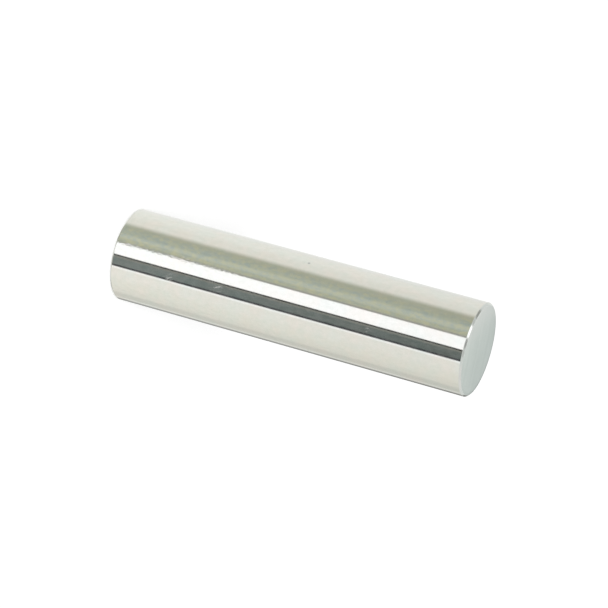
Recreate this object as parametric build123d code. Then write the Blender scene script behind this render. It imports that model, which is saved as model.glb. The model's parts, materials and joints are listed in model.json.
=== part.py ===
"""Plain cylindrical pin gauge: one solid pin of hardened bearing steel.

The pin is turned from bar, hardened, ground and lapped to its gauging diameter, and ground flat on both ends.
A small chamfer breaks the edge round each end, and stoning leaves the chamfer's two corners slightly round.

It stands on one end: its axis is +Z, and the origin is the centre of the lower end face.
Sizes are in millimetres.
"""

from build123d import *

import os

# Driving dimensions
gauge_diameter = 12.7  # the size that the pin gauges, one half inch
pin_length = 50.8  # over both end faces, two inches, the standard length of such pins
end_chamfer = 0.25  # leg of the 45 degree edge break round each end
stoned_round = 0.08  # radius left by stoning on the two corners of each chamfer

# Sizes that follow from them
gauge_radius = gauge_diameter / 2
face_radius = gauge_radius - end_chamfer
shoulder_height = pin_length - end_chamfer  # where the lapped cylinder ends and the upper chamfer starts


def half_section():
    """Half of the pin's lengthwise section: the outline that a lathe tool follows, closed along the axis."""
    with BuildSketch(Plane.XZ) as section:
        with BuildLine():
            Polyline(
                (0, 0),
                (face_radius, 0),
                (gauge_radius, end_chamfer),
                (gauge_radius, shoulder_height),
                (face_radius, pin_length),
                (0, pin_length),
                close=True,
            )
        make_face()
        chamfer_corners = [corner for corner in section.vertices() if corner.X > 0]
        fillet(chamfer_corners, radius=stoned_round)
    return section.sketch


def gauge_pin():
    """The whole pin: its half section turned once round the axis."""
    return revolve(half_section(), axis=Axis.Z)


os.makedirs("parts", exist_ok=True)
export_step(gauge_pin(), "parts/gauge_pin.step")
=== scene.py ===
import json
import math

import bpy
from mathutils import Matrix, Vector


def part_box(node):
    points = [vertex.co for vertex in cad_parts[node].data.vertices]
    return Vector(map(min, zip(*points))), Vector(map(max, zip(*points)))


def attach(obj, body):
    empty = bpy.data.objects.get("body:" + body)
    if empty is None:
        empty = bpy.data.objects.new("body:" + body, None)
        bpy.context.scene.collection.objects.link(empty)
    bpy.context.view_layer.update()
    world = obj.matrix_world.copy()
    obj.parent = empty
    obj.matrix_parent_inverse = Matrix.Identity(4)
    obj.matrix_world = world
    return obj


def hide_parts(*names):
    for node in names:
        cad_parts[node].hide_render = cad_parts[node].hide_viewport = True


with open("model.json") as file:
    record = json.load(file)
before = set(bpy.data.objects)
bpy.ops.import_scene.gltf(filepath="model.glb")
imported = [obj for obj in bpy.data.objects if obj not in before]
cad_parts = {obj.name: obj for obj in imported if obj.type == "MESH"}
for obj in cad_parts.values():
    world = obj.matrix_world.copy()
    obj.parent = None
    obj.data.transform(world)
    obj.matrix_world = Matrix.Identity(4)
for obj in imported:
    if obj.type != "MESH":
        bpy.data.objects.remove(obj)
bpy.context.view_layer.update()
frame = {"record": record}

# The gauge pin: one cylinder of hardened bearing steel, turned from bar with both end edges broken, then
# ground and lapped to its gauging size. Its shape is a half section turned once about the axis, with one
# finish for the lapped cylinder, one for the two ground ends and one for the stoned edges between them.
MILLIMETRE = 0.001
gauging_cylinder = next(mount for mount in frame["record"]["mounts"] if mount["name"] == "gauging_cylinder")
gauge_radius = gauging_cylinder["dims"]["r_mm"] * MILLIMETRE
pin_foot, pin_head = (corner.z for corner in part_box("gauge_pin"))
pin_length = pin_head - pin_foot
end_chamfer = 0.25 * MILLIMETRE
stoned_round = 0.08 * MILLIMETRE
flat_margin = 0.04 * MILLIMETRE  # keeps the flats and the cylinder true right up to the rounded corners
merge_distance = 0.0001 * MILLIMETRE
turning_steps = 256
corner_steps = 4
finish_slope = math.radians(1)  # a face this far off level or upright belongs to the broken edge


def add_node(tree, kind, inputs, **settings):
    """Adds one node: its inputs are sockets to link or values to set, by name or place."""
    node = tree.nodes.new(kind)
    for name, value in settings.items():
        setattr(node, name, value)
    for name, source in inputs.items():
        if isinstance(source, bpy.types.NodeSocket):
            tree.links.new(source, node.inputs[name])
        else:
            node.inputs[name].default_value = source
    return node


def reckon(tree, operation, *terms):
    """The result of one step of arithmetic on sockets and numbers."""
    return add_node(tree, "ShaderNodeMath", dict(enumerate(terms)), operation=operation).outputs[0]


def turned_pin_tree(lapped, stoned, ground):
    """The lathe: a half section with broken edges, turned about Z, with a finish for each surface."""
    tree = bpy.data.node_groups.new("turned_pin", "GeometryNodeTree")
    lengths = ("Radius", "Length", "Chamfer", "Corner Round", "Flat Margin", "Merge Distance")
    for name in (*lengths, "Finish Slope"):
        tree.interface.new_socket(name, in_out="INPUT", socket_type="NodeSocketFloat")
    for name in ("Turning Steps", "Corner Steps"):
        tree.interface.new_socket(name, in_out="INPUT", socket_type="NodeSocketInt")
    tree.interface.new_socket("Pin", in_out="OUTPUT", socket_type="NodeSocketGeometry")
    size = tree.nodes.new("NodeGroupInput").outputs

    # Half section, from the foot's centre to the head's centre: across is measured from the gauging radius
    inset = reckon(tree, "ADD", size["Chamfer"], size["Flat Margin"])
    axis_across = reckon(tree, "MULTIPLY", size["Radius"], -1.0)
    flat_across = reckon(tree, "MULTIPLY", inset, -1.0)
    face_across = reckon(tree, "MULTIPLY", size["Chamfer"], -1.0)
    shoulder = reckon(tree, "SUBTRACT", size["Length"], size["Chamfer"])
    wall_top = reckon(tree, "SUBTRACT", size["Length"], inset)
    corners = (
        (axis_across, 0.0),
        (flat_across, 0.0),
        (face_across, 0.0),
        (0.0, size["Chamfer"]),
        (0.0, inset),
        (0.0, wall_top),
        (0.0, shoulder),
        (face_across, size["Length"]),
        (flat_across, size["Length"]),
        (axis_across, size["Length"]),
    )
    index = tree.nodes.new("GeometryNodeInputIndex").outputs["Index"]
    pick = tree.nodes.new("GeometryNodeIndexSwitch")
    pick.data_type = "VECTOR"
    while len(pick.index_switch_items) < len(corners):
        pick.index_switch_items.new()
    tree.links.new(index, pick.inputs["Index"])
    for place, (across, height) in enumerate(corners):
        depth = reckon(tree, "MULTIPLY", height, -1.0)
        corner = add_node(tree, "ShaderNodeCombineXYZ", {"X": across, "Y": depth})
        tree.links.new(corner.outputs[0], pick.inputs[place + 1])
    line = tree.nodes.new("GeometryNodeCurvePrimitiveLine")
    points = add_node(tree, "GeometryNodeResampleCurve", {"Curve": line.outputs[0], "Count": len(corners)})
    section = add_node(
        tree, "GeometryNodeSetPosition", {"Geometry": points.outputs[0], "Position": pick.outputs[0]}
    )

    # The chamfer's corners are the third and fourth points in each run of four
    in_four = reckon(tree, "MODULO", index, 4.0)
    is_corner = reckon(tree, "GREATER_THAN", in_four, 1.5)
    corner_round = reckon(tree, "MULTIPLY", is_corner, size["Corner Round"])
    rounded = add_node(
        tree,
        "GeometryNodeFilletCurve",
        {"Curve": section.outputs[0], "Count": size["Corner Steps"], "Radius": corner_round},
        mode="POLY",
    )
    circle = add_node(
        tree,
        "GeometryNodeCurvePrimitiveCircle",
        {"Resolution": size["Turning Steps"], "Radius": size["Radius"]},
    )
    turned = add_node(
        tree, "GeometryNodeCurveToMesh", {"Curve": circle.outputs[0], "Profile Curve": rounded.outputs[0]}
    )
    closed = add_node(
        tree,
        "GeometryNodeMergeByDistance",
        {"Geometry": turned.outputs[0], "Distance": size["Merge Distance"]},
    )

    # Each face's slope says which finish it has
    normal = tree.nodes.new("GeometryNodeInputNormal").outputs[0]
    rise = add_node(tree, "ShaderNodeSeparateXYZ", {0: normal}).outputs["Z"]
    steepness = reckon(tree, "ARCSINE", reckon(tree, "MINIMUM", reckon(tree, "ABSOLUTE", rise), 1.0))
    level = reckon(tree, "SUBTRACT", math.pi / 2, size["Finish Slope"])
    on_end = reckon(tree, "GREATER_THAN", steepness, level)
    off_wall = reckon(tree, "GREATER_THAN", steepness, size["Finish Slope"])
    outward = add_node(tree, "GeometryNodeFlipFaces", {"Mesh": closed.outputs[0]})
    made = add_node(tree, "GeometryNodeRealizeInstances", {"Geometry": outward.outputs[0]}).outputs[0]
    for finish, where in ((lapped, True), (stoned, off_wall), (ground, on_end)):
        coat = {"Geometry": made, "Selection": where, "Material": finish}
        made = add_node(tree, "GeometryNodeSetMaterial", coat).outputs[0]
    tree.links.new(made, tree.nodes.new("NodeGroupOutput").inputs[0])
    return tree


def steel_material(name):
    """A new steel: its material, its tree, its shader with metal set, and the pin's own coordinates."""
    material = bpy.data.materials.new(name)
    material.use_nodes = True
    tree = material.node_tree
    shader = tree.nodes["Principled BSDF"]
    shader.inputs["Metallic"].default_value = 1.0
    place = tree.nodes.new("ShaderNodeTexCoord").outputs["Object"]
    return material, tree, shader, place


def mottle(tree, place, grain, detail):
    """Soft noise from 0 to 1 whose patches are about one grain across."""
    noise = {"Vector": place, "Scale": 1 / grain, "Detail": detail}
    return add_node(tree, "ShaderNodeTexNoise", noise).outputs[0]


def streaks(tree, place, turn, grain, detail):
    """Soft noise from 0 to 1, turned, whose patches have these three sizes."""
    squeeze = {"Vector": place, "Rotation": turn, "Scale": grain}
    squeezed = add_node(tree, "ShaderNodeMapping", squeeze, vector_type="TEXTURE").outputs[0]
    return mottle(tree, squeezed, 1.0, detail)


def spread(tree, value, low, high, first, last):
    """A value carried from the range low to high over to the range first to last, and held there."""
    ends = {"Value": value, "From Min": low, "From Max": high, "To Min": first, "To Max": last}
    return add_node(tree, "ShaderNodeMapRange", ends).outputs[0]


def between(tree, share, first, second):
    """A colour between two colours, by share."""
    ends = {"Factor": share, "A": first, "B": second}
    return add_node(tree, "ShaderNodeMix", ends, data_type="RGBA").outputs["Result"]


def measure(tree, operation, *vectors):
    """One number worked out from vectors: a distance, a length or a dot product."""
    node = add_node(tree, "ShaderNodeVectorMath", dict(enumerate(vectors)), operation=operation)
    return node.outputs["Value"]


def level_way(turn):
    """The level direction that lies this many degrees round from the camera towards +X."""
    turn = math.radians(turn)
    return Vector((math.sin(turn), -math.cos(turn), 0))


def spot(tree, place, turn, height, radius):
    """One at a place on the wall, by degrees round and height, fading to zero at its radius."""
    core_share = 0.4
    centre = level_way(turn) * gauge_radius + Vector((0, 0, height))
    off_centre = measure(tree, "DISTANCE", place, centre)
    return spread(tree, off_centre, core_share * radius, radius, 1.0, 0.0)


def strip(tree, place, turn, core, edge):
    """One along the wall at a way round, over the core's degrees, fading to zero at the edge's degrees."""
    towards = measure(tree, "DOT_PRODUCT", place, level_way(turn))
    core_reach = gauge_radius * math.cos(math.radians(core))
    edge_reach = gauge_radius * math.cos(math.radians(edge))
    return spread(tree, towards, edge_reach, core_reach, 0.0, 1.0)


def hairlines(tree, place, grain, turn, width_share, clear_share):
    """Fine scratches: thin level lines of a long-grained noise, kept only in scattered patches."""
    patch_grain = 4 * grain[0]
    patch_fade = 0.06
    field = streaks(tree, place, turn, grain, 1.0)
    off_line = reckon(tree, "ABSOLUTE", reckon(tree, "SUBTRACT", field, 0.5))
    line = spread(tree, off_line, 0.0, width_share, 1.0, 0.0)
    patches = mottle(tree, place, patch_grain, 2.0)
    patch = spread(tree, patches, clear_share, clear_share + patch_fade, 0.0, 1.0)
    return reckon(tree, "MULTIPLY", line, patch)


def lapped_steel():
    """Lapped hardened steel: a mirror under a film of oil and dust, with hairlines, scuffs and one pit."""
    unturned = (0, 0, 0)
    film_grain = 0.7 * MILLIMETRE
    stain_grain = 2.4 * MILLIMETRE
    stain_range = (0.35, 0.65)  # of the noise, carried over to the whole range from 0 to 1
    thin_film = ((0.656, 0.696, 0.664, 1.0), (0.686, 0.693, 0.653, 1.0))
    thick_film = ((0.757, 0.755, 0.752, 1.0), (0.788, 0.746, 0.738, 1.0))
    # An oily smear runs along one side, and beside it, from the foot to under half way up, handling has
    # worn a finely rippled strip: degrees round, then half the width at full strength and at the faded edge
    smear = (-22, 8, 12.5)
    smear_grain = (0.5 * MILLIMETRE, 0.5 * MILLIMETRE, 0.9 * MILLIMETRE)
    smear_tints = ((0.660, 0.692, 0.722, 1.0), (0.782, 0.762, 0.680, 1.0))
    worn = (-10, 2.5, 5)
    worn_top = 21 * MILLIMETRE
    worn_fade = 6 * MILLIMETRE
    worn_grain = (0.24 * MILLIMETRE, 0.24 * MILLIMETRE, 0.38 * MILLIMETRE)
    worn_depth = 0.084 * MILLIMETRE
    # One pit and a few scuffs: degrees round, height and radius
    pit_place = (-53, 26.44 * MILLIMETRE, 0.21 * MILLIMETRE)
    pit_tone = (0.38, 0.40, 0.42, 1.0)
    scuffs = (
        (11, 15.9 * MILLIMETRE, 0.8 * MILLIMETRE),
        (14, 8.8 * MILLIMETRE, 0.8 * MILLIMETRE),
        (12, 37.4 * MILLIMETRE, 0.4 * MILLIMETRE),
        (-96, 31.0 * MILLIMETRE, 1.1 * MILLIMETRE),
        (148, 19.0 * MILLIMETRE, 0.9 * MILLIMETRE),
    )
    scuff_grain = (0.16 * MILLIMETRE, 0.16 * MILLIMETRE, 1.6 * MILLIMETRE)
    scuff_turn = (0, math.radians(-24), 0)
    scuff_range = (0.50, 0.60)
    # Hairlines along the pin and askew: their turn, their width and the share of the wall clear of them
    hairline_grain = (1.3 * MILLIMETRE, 1.3 * MILLIMETRE, 22 * MILLIMETRE)
    along_lines = (unturned, 0.010, 0.64)
    askew_lines = ((math.radians(38), math.radians(14), 0), 0.008, 0.66)
    # The lay is what the lap leaves: very fine rings round the wall
    lay_grain = (15 * MILLIMETRE, 15 * MILLIMETRE, 0.12 * MILLIMETRE)
    lay_range = (0.3, 0.7)
    lay_depth = 0.0006 * MILLIMETRE
    lay_strength = 0.15
    lay_roughness = (0.055, 0.095)
    marked_roughness = 0.2  # added where the wall is marked
    dust_grain = (0.45 * MILLIMETRE, 0.45 * MILLIMETRE, 1.1 * MILLIMETRE)
    dust_range = (0.3, 0.75)
    dusty_metal = 0.90  # how metallic the wall looks under the thickest dust
    scuffed_metal = -0.32  # added to that where the wall is scuffed

    material, tree, shader, place = steel_material("lapped_wall")
    film = mottle(tree, place, film_grain, 3.0)
    stain = spread(tree, mottle(tree, place, stain_grain, 3.0), *stain_range, 0.0, 1.0)
    tone = between(tree, film, between(tree, stain, *thin_film), between(tree, stain, *thick_film))
    blots = spread(tree, streaks(tree, place, unturned, smear_grain, 3.0), *stain_range, 0.0, 1.0)
    tone = between(tree, strip(tree, place, *smear), tone, between(tree, blots, *smear_tints))
    pit = spot(tree, place, *pit_place)
    tree.links.new(between(tree, pit, tone, pit_tone), shader.inputs["Base Color"])

    rubbed = 0.0
    for scuff in scuffs:
        rubbed = reckon(tree, "MAXIMUM", rubbed, spot(tree, place, *scuff))
    strokes = streaks(tree, place, scuff_turn, scuff_grain, 1.0)
    rubbed = reckon(tree, "MULTIPLY", rubbed, spread(tree, strokes, *scuff_range, 0.0, 1.0))
    marks = reckon(tree, "MAXIMUM", rubbed, pit)
    for lines in (along_lines, askew_lines):
        marks = reckon(tree, "MAXIMUM", marks, hairlines(tree, place, hairline_grain, *lines))
    lay = streaks(tree, place, unturned, lay_grain, 2.0)
    gloss = spread(tree, lay, *lay_range, *lay_roughness)
    dulled = reckon(tree, "MULTIPLY_ADD", marks, marked_roughness, gloss)
    tree.links.new(dulled, shader.inputs["Roughness"])

    dust = streaks(tree, place, unturned, dust_grain, 2.0)
    metal = spread(tree, dust, *dust_range, 1.0, dusty_metal)
    metal = reckon(tree, "MULTIPLY_ADD", rubbed, scuffed_metal, metal)
    tree.links.new(metal, shader.inputs["Metallic"])

    height = add_node(tree, "ShaderNodeSeparateXYZ", {0: place}).outputs["Z"]
    low_down = spread(tree, height, worn_top - worn_fade, worn_top, 1.0, 0.0)
    ripples = reckon(tree, "MULTIPLY", streaks(tree, place, unturned, worn_grain, 2.0), low_down)
    ripples = reckon(tree, "MULTIPLY", ripples, strip(tree, place, *worn))
    surface = reckon(tree, "MULTIPLY_ADD", ripples, worn_depth / lay_depth, lay)
    relief = {"Height": surface, "Strength": lay_strength, "Distance": lay_depth}
    tree.links.new(add_node(tree, "ShaderNodeBump", relief).outputs[0], shader.inputs["Normal"])
    return material


def stoned_steel():
    """The broken edge: turned, then passed over a stone, so a little duller than the lapped wall."""
    nick_grain = 0.8 * MILLIMETRE
    nick_range = (0.3, 0.7)
    stoned_tones = ((0.66, 0.67, 0.65, 1.0), (0.75, 0.75, 0.73, 1.0))
    stoned_roughness = (0.10, 0.20)
    material, tree, shader, place = steel_material("stoned_edge")
    nicks = mottle(tree, place, nick_grain, 3.0)
    tree.links.new(between(tree, nicks, *stoned_tones), shader.inputs["Base Color"])
    tree.links.new(spread(tree, nicks, *nick_range, *stoned_roughness), shader.inputs["Roughness"])
    return material


def wheel_lines(tree, reach, pitch):
    """Noise along one measure alone, so that it draws the arcs that a grinding wheel leaves."""
    noise = {"W": reach, "Scale": 1 / pitch, "Detail": 2.0}
    return add_node(tree, "ShaderNodeTexNoise", noise, noise_dimensions="1D").outputs[0]


def ground_steel():
    """The flat ends: satin from a grinding wheel, whose fine lines cross the end in shallow arcs, under
    painted light and shade.
    """
    wheel_centre = (25 * MILLIMETRE, -90 * MILLIMETRE, 0)
    fine_pitch = 0.15 * MILLIMETRE
    broad_pitch = 0.9 * MILLIMETRE
    fine_share = 0.6  # of the lines; the rest is broad
    cloud_grain = 4 * MILLIMETRE
    line_share = 0.65  # of the grain; the rest is clouds
    grain_range = (0.4, 0.6)
    satin_tones = ((0.655, 0.695, 0.665, 1.0), (0.73, 0.76, 0.73, 1.0))
    satin_roughness = (0.46, 0.34)
    line_depth = 0.02 * MILLIMETRE
    line_strength = 0.35
    # Painted light and shade over the satin: the end is painted paler towards one side as a painted sheen,
    # and greyer towards the opposite side as painted shade, with a thin dark line of painted shade along
    # the rim on that greyer side
    painted_sheen_way = (-0.9, -0.45, 0)
    painted_sheen_start = 0.2 * gauge_radius
    painted_sheen_tone = (0.80, 0.79, 0.775, 1.0)
    painted_shade_way = (0.45, 0.9, 0)
    painted_shade_share = 0.6
    painted_shade_tone = (0.48, 0.52, 0.51, 1.0)
    face_radius = gauge_radius - end_chamfer
    painted_rim_shade_band = 0.42 * MILLIMETRE
    painted_rim_shade_tone = (0.29, 0.31, 0.30, 1.0)

    material, tree, shader, place = steel_material("ground_end")
    levelled = {0: place, 1: (1, 1, 0)}
    flat = add_node(tree, "ShaderNodeVectorMath", levelled, operation="MULTIPLY").outputs["Vector"]
    reach = measure(tree, "DISTANCE", flat, wheel_centre)
    broad = reckon(tree, "MULTIPLY", wheel_lines(tree, reach, broad_pitch), 1 - fine_share)
    lines = reckon(tree, "MULTIPLY_ADD", wheel_lines(tree, reach, fine_pitch), fine_share, broad)
    clouds = reckon(tree, "MULTIPLY", mottle(tree, place, cloud_grain, 2.0), 1 - line_share)
    grain = reckon(tree, "MULTIPLY_ADD", lines, line_share, clouds)
    grain = spread(tree, grain, *grain_range, 0.0, 1.0)
    tone = between(tree, grain, *satin_tones)
    # Painted sheen: the end's colour is painted paler towards one side
    towards_painted_sheen = measure(tree, "DOT_PRODUCT", place, painted_sheen_way)
    painted_sheen = spread(tree, towards_painted_sheen, painted_sheen_start, gauge_radius, 0.0, 1.0)
    tone = between(tree, painted_sheen, tone, painted_sheen_tone)
    # Painted shade: the end's colour is painted greyer towards the opposite side
    towards_painted_shade = measure(tree, "DOT_PRODUCT", place, painted_shade_way)
    painted_shade = spread(tree, towards_painted_shade, -gauge_radius, gauge_radius, 0.0, painted_shade_share)
    tone = between(tree, painted_shade, tone, painted_shade_tone)
    # Painted shade: a thin dark line painted along the rim on the greyer side
    painted_rim_shade_mask = spread(tree, measure(tree, "LENGTH", flat), face_radius - painted_rim_shade_band, face_radius, 0.0, 1.0)
    painted_rim_shade = reckon(tree, "MULTIPLY", painted_rim_shade_mask, spread(tree, towards_painted_shade, 0.0, gauge_radius, 0.0, 1.0))
    tone = between(tree, painted_rim_shade, tone, painted_rim_shade_tone)
    tree.links.new(tone, shader.inputs["Base Color"])
    tree.links.new(spread(tree, grain, 0.0, 1.0, *satin_roughness), shader.inputs["Roughness"])
    relief = {"Height": lines, "Strength": line_strength, "Distance": line_depth}
    tree.links.new(add_node(tree, "ShaderNodeBump", relief).outputs[0], shader.inputs["Normal"])
    return material


lathe_tree = turned_pin_tree(lapped_steel(), stoned_steel(), ground_steel())
blank = bpy.data.objects.new("bar_blank", bpy.data.meshes.new("bar_blank"))
bpy.context.scene.collection.objects.link(blank)
lathe = blank.modifiers.new("lathe", "NODES")
lathe.node_group = lathe_tree
pin_sizes = {
    "Radius": gauge_radius,
    "Length": pin_length,
    "Chamfer": end_chamfer,
    "Corner Round": stoned_round,
    "Flat Margin": flat_margin,
    "Merge Distance": merge_distance,
    "Finish Slope": finish_slope,
    "Turning Steps": turning_steps,
    "Corner Steps": corner_steps,
}
for socket in lathe_tree.interface.items_tree:
    if socket.in_out == "INPUT":
        lathe[socket.identifier] = pin_sizes[socket.name]
turned_blank = blank.evaluated_get(bpy.context.evaluated_depsgraph_get())
pin = bpy.data.objects.new("pin", bpy.data.meshes.new_from_object(turned_blank))
bpy.context.scene.collection.objects.link(pin)
bpy.data.objects.remove(blank)
pin.data.shade_smooth()
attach(pin, "root")
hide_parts("gauge_pin")

# The floor: a plain pale sheet that the pin stands on. It shows white to the camera and keeps the pin's
# shadow, and the pin mirrors the tent in its stead.
floor_half = 1.2
floor_lift = 0.42  # light of its own that the camera sees, on top of the light that falls on it
floor_corners = [(x * floor_half, y * floor_half, 0) for x, y in ((-1, -1), (1, -1), (1, 1), (-1, 1))]
floor_mesh = bpy.data.meshes.new("floor")
floor_mesh.from_pydata(floor_corners, [], [range(len(floor_corners))])
floor = bpy.data.objects.new("floor", floor_mesh)
bpy.context.scene.collection.objects.link(floor)
floor.visible_glossy = False
sheet = bpy.data.materials.new("pale_sheet")
sheet.use_nodes = True
sheet_tree = sheet.node_tree
sheet_shader = sheet_tree.nodes["Principled BSDF"]
sheet_shader.inputs["Base Color"].default_value = (0.8, 0.8, 0.8, 1.0)
sheet_shader.inputs["Roughness"].default_value = 1.0
sheet_shader.inputs["Specular IOR Level"].default_value = 0.0
sheet_shader.inputs["Emission Color"].default_value = (1.0, 1.0, 1.0, 1.0)
ray = sheet_tree.nodes.new("ShaderNodeLightPath").outputs
seen = reckon(sheet_tree, "MAXIMUM", ray["Is Camera Ray"], ray["Is Glossy Ray"])
seen = reckon(sheet_tree, "MAXIMUM", seen, ray["Is Transmission Ray"])
lift = reckon(sheet_tree, "MULTIPLY", seen, floor_lift)
sheet_tree.links.new(lift, sheet_shader.inputs["Emission Strength"])
floor.data.materials.append(sheet)

# The light tent: white to the camera, and all round the pin the pale walls, cards and flags that a bright
# cylinder is photographed between. Lamps and flags hang overhead and stand low down, where the broken edges
# mirror them. Directions are degrees round from the camera towards +X, and degrees up.
tent = bpy.data.worlds.new("light_tent")
bpy.context.scene.world = tent
tent.use_nodes = True
tent_tree = tent.node_tree
way = tent_tree.nodes.new("ShaderNodeTexCoord").outputs["Generated"]
way_parts = add_node(tent_tree, "ShaderNodeSeparateXYZ", {0: way}).outputs
to_camera = reckon(tent_tree, "MULTIPLY", way_parts["Y"], -1.0)
around = reckon(tent_tree, "DEGREES", reckon(tent_tree, "ARCTAN2", way_parts["X"], to_camera))
# The walls are a little brighter low down, where the table throws light back on them, and the flags most of
# all. In the main view the pin's foot mirrors the first of these heights, and its head the second
foot_mirrors = -0.39
head_mirrors = -0.28
lit_low = spread(tent_tree, way_parts["Z"], foot_mirrors, head_mirrors, 1.0, 0.0)


def eased(value, edge, softness):
    """Zero below the edge and one above it, eased over the softness."""
    ends = {"Value": value, "From Min": edge - softness / 2, "From Max": edge + softness / 2}
    return add_node(tent_tree, "ShaderNodeMapRange", ends, interpolation_type="SMOOTHSTEP").outputs[0]


def hang_panel(cloth, start, end, softness, colour, lean=0):
    """An upright panel of the wall, from one way round to another, with soft sides; lean turns its foot."""
    foot_share = reckon(tent_tree, "SUBTRACT", lit_low, 0.5)
    turned_foot = reckon(tent_tree, "MULTIPLY_ADD", foot_share, -lean, around)
    sides = [eased(turned_foot, edge, softness) for edge in (start, end)]
    return between(tent_tree, reckon(tent_tree, "SUBTRACT", *sides), cloth, colour)


def hang_round(cloth, turn, height, radius, softness, colour):
    """A round lamp or flag above or below the pin, as wide as its radius in degrees."""
    height = math.radians(height)
    aim = level_way(turn) * math.cos(height) + Vector((0, 0, math.sin(height)))
    facing = measure(tent_tree, "DOT_PRODUCT", way, aim)
    off_aim = reckon(tent_tree, "DEGREES", reckon(tent_tree, "ARCCOSINE", facing))
    inside = reckon(tent_tree, "SUBTRACT", 1.0, eased(off_aim, radius, softness))
    return between(tent_tree, inside, cloth, colour)


wall_cloth = (1.025, 1.025, 0.955, 1.0)
wall_light = (0.968, 1.039)  # at the height that the head mirrors, and at the foot's height
roof_cloth = (0.84, 0.88, 0.86, 1.0)
roof_height = 0.14
roof_softness = 0.14
low_height = -0.44  # in the main view only the foot's broken edge mirrors what is lower
low_softness = 0.05
flag_hem = -0.68  # the back flag ends here, above pale cloth
flag_hem_softness = 0.10
hem_cloth = (0.93, 0.93, 0.90, 1.0)
fill_light = (0.55, 0.55, 0.55, 1.0)  # the tent's plain light on all that isn't a mirror
white = (1.0, 1.0, 1.0, 1.0)
flag = between(tent_tree, lit_low, (0.148, 0.174, 0.163, 1.0), (0.215, 0.251, 0.239, 1.0))
back_flag = between(tent_tree, lit_low, (0.25, 0.255, 0.24, 1.0), (0.34, 0.345, 0.33, 1.0))
above_hem = eased(way_parts["Z"], flag_hem, flag_hem_softness)
back_flag = between(tent_tree, above_hem, hem_cloth, back_flag)
# Panels: where each starts and ends, how soft its sides are, its colour and how far its foot is turned
wall_panels = (
    (-200, -143, 45, (0.955, 0.965, 0.94, 1.0)),
    (-200, -177, 4, back_flag),
    (-102, -60, 30, (0.96, 0.95, 0.87, 1.0)),
    (-76, -20, 16, (0.488, 0.509, 0.398, 1.0), 5),
    (-56, -20, 10, (0.490, 0.532, 0.439, 1.0)),
    (-45.5, -20, 8, (0.603, 0.64, 0.526, 1.0), 4),
    (-33, -20, 6, (0.537, 0.557, 0.418, 1.0)),
    (-23.6, -19.1, 2, (0.393, 0.393, 0.357, 1.0)),
    (-19.1, 9.9, 2, (1.39, 1.39, 1.395, 1.0)),
    (9.9, 39, 2, flag),
    (9.9, 13.4, 1.5, (0.015, 0.015, 0.012, 1.0)),
    (13, 17, 2, (0.26, 0.27, 0.24, 1.0)),
    (33.8, 39, 2, (0.049, 0.054, 0.059, 1.0), 1.2),
    (39, 43.6, 2, (1.285, 1.295, 1.295, 1.0), 1.2),
    (43.6, 72, 14, (1.035, 1.025, 0.955, 1.0)),
    (72, 200, 28, (0.975, 0.97, 0.88, 1.0)),
    (98, 200, 24, (0.90, 0.895, 0.81, 1.0)),
    (118, 200, 14, (0.742, 0.742, 0.675, 1.0)),
    (142, 146.5, 3, (0.93, 0.93, 0.88, 1.0)),
    (148.5, 200, 4, (0.609, 0.609, 0.578, 1.0)),
    (155, 200, 7, back_flag),
)
# Lamps and flags: way round, height, radius, softness and colour
overhead = (
    (-65, 64.5, 10.4, 3, (1.7, 1.7, 1.7, 1.0)),
    (-15, 72.7, 8.2, 3, (0.44, 0.45, 0.44, 1.0)),
    (36, 70.5, 6, 5, (0.62, 0.64, 0.62, 1.0)),
    (-114.5, 40.7, 10.8, 4, (0.37, 0.38, 0.35, 1.0)),
    (-92, 54, 6, 4, (0.63, 0.65, 0.63, 1.0)),
    (115, 45, 24, 8, (0.90, 0.90, 0.88, 1.0)),
)
low_panels = (
    (-132, -106, 10, (0.48, 0.50, 0.42, 1.0)),
    (-106, -97, 3, (1.3, 1.3, 1.3, 1.0)),
)
below = (
    (-156, -60, 8, 5, (0.34, 0.345, 0.27, 1.0)),
    (160, -65, 4.5, 3, (0.30, 0.30, 0.27, 1.0)),
)
walls = wall_cloth
for panel in wall_panels:
    walls = hang_panel(walls, *panel)
low_walls = walls
for panel in low_panels:
    low_walls = hang_panel(low_walls, *panel)
for hung in below:
    low_walls = hang_round(low_walls, *hung)
walls = between(tent_tree, eased(way_parts["Z"], low_height, low_softness), low_walls, walls)
lit_walls = {0: walls, "Scale": spread(tent_tree, lit_low, 0.0, 1.0, *wall_light)}
walls = add_node(tent_tree, "ShaderNodeVectorMath", lit_walls, operation="SCALE").outputs["Vector"]
roof = roof_cloth
for hung in overhead:
    roof = hang_round(roof, *hung)
cloth = between(tent_tree, eased(way_parts["Z"], roof_height, roof_softness), walls, roof)
tent_ray = tent_tree.nodes.new("ShaderNodeLightPath").outputs
mirrored = reckon(tent_tree, "MAXIMUM", tent_ray["Is Glossy Ray"], tent_ray["Is Transmission Ray"])
light = between(tent_tree, mirrored, fill_light, cloth)
shown = between(tent_tree, tent_ray["Is Camera Ray"], light, white)
tent_tree.links.new(shown, tent_tree.nodes["Background"].inputs["Color"])

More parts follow.
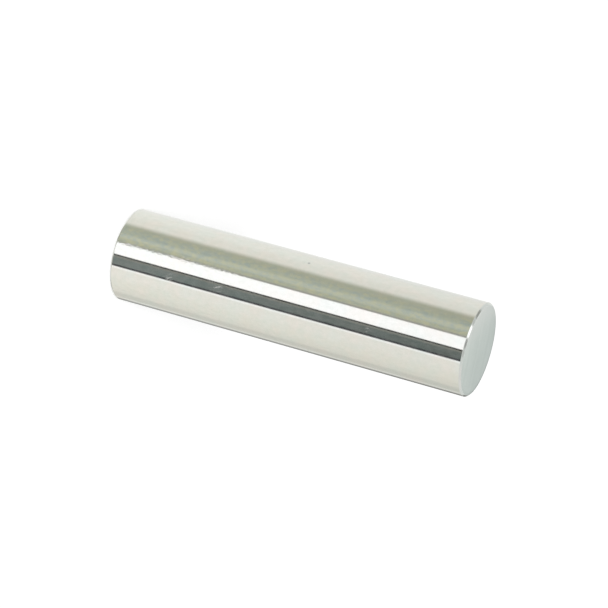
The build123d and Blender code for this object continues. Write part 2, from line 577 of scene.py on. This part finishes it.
# The key lamp: a large soft lamp above the camera. It draws the pin's shadow on the floor, behind the pin,
# and the pin doesn't mirror it.
lamp_height = math.radians(52)
lamp_light = bpy.data.lights.new("key_lamp", "SUN")
lamp_light.angle = math.radians(14)
lamp_light.energy = 1.0
lamp = bpy.data.objects.new("key_lamp", lamp_light)
bpy.context.scene.collection.objects.link(lamp)
lamp_way = Vector((0, -math.cos(lamp_height), math.sin(lamp_height)))
lamp.rotation_mode = "QUATERNION"
lamp.rotation_quaternion = lamp_way.to_track_quat("Z", "Y")
lamp.visible_glossy = False

# The camera: it looks down on the head of the standing pin, and is rolled so that the pin lies across the
# picture. Its place is worked out from where it sees the pin: rightwards, downwards and away.
view_tilt = math.radians(70.60)  # from the pin's axis to the line of sight
view_roll = math.radians(15.478)  # of the pin's axis in the picture, down from level
view_distance = 361.9 * MILLIMETRE
view_offset = (-0.408 * MILLIMETRE, -0.405 * MILLIMETRE)  # of the pin's middle, rightwards and downwards
picture_pixels = 608
focal_pixels = 2722.0
sensor_width = 36
axis_seen = Vector((
    math.sin(view_tilt) * math.cos(view_roll),
    math.sin(view_tilt) * math.sin(view_roll),
    -math.cos(view_tilt),
))
side_seen = Vector((-math.sin(view_roll), math.cos(view_roll), 0))
back_seen = axis_seen.cross(side_seen)
seen_from_frame = Matrix((side_seen, back_seen, axis_seen)).transposed()
middle_seen = Vector((*view_offset, view_distance))
foot_seen = middle_seen - axis_seen * (pin_length / 2)
camera_place = seen_from_frame.transposed() @ -foot_seen
right, down, away = seen_from_frame
camera_turn = Matrix((right, -down, -away)).transposed().to_4x4()
camera_data = bpy.data.cameras.new("camera")
camera_data.sensor_width = sensor_width
camera_data.lens = focal_pixels * sensor_width / picture_pixels
camera = bpy.data.objects.new("camera", camera_data)
camera.matrix_world = Matrix.Translation(camera_place) @ camera_turn
bpy.context.scene.collection.objects.link(camera)
bpy.context.scene.camera = camera
bpy.context.scene.view_settings.view_transform = "Standard"

bpy.context.view_layer.update()
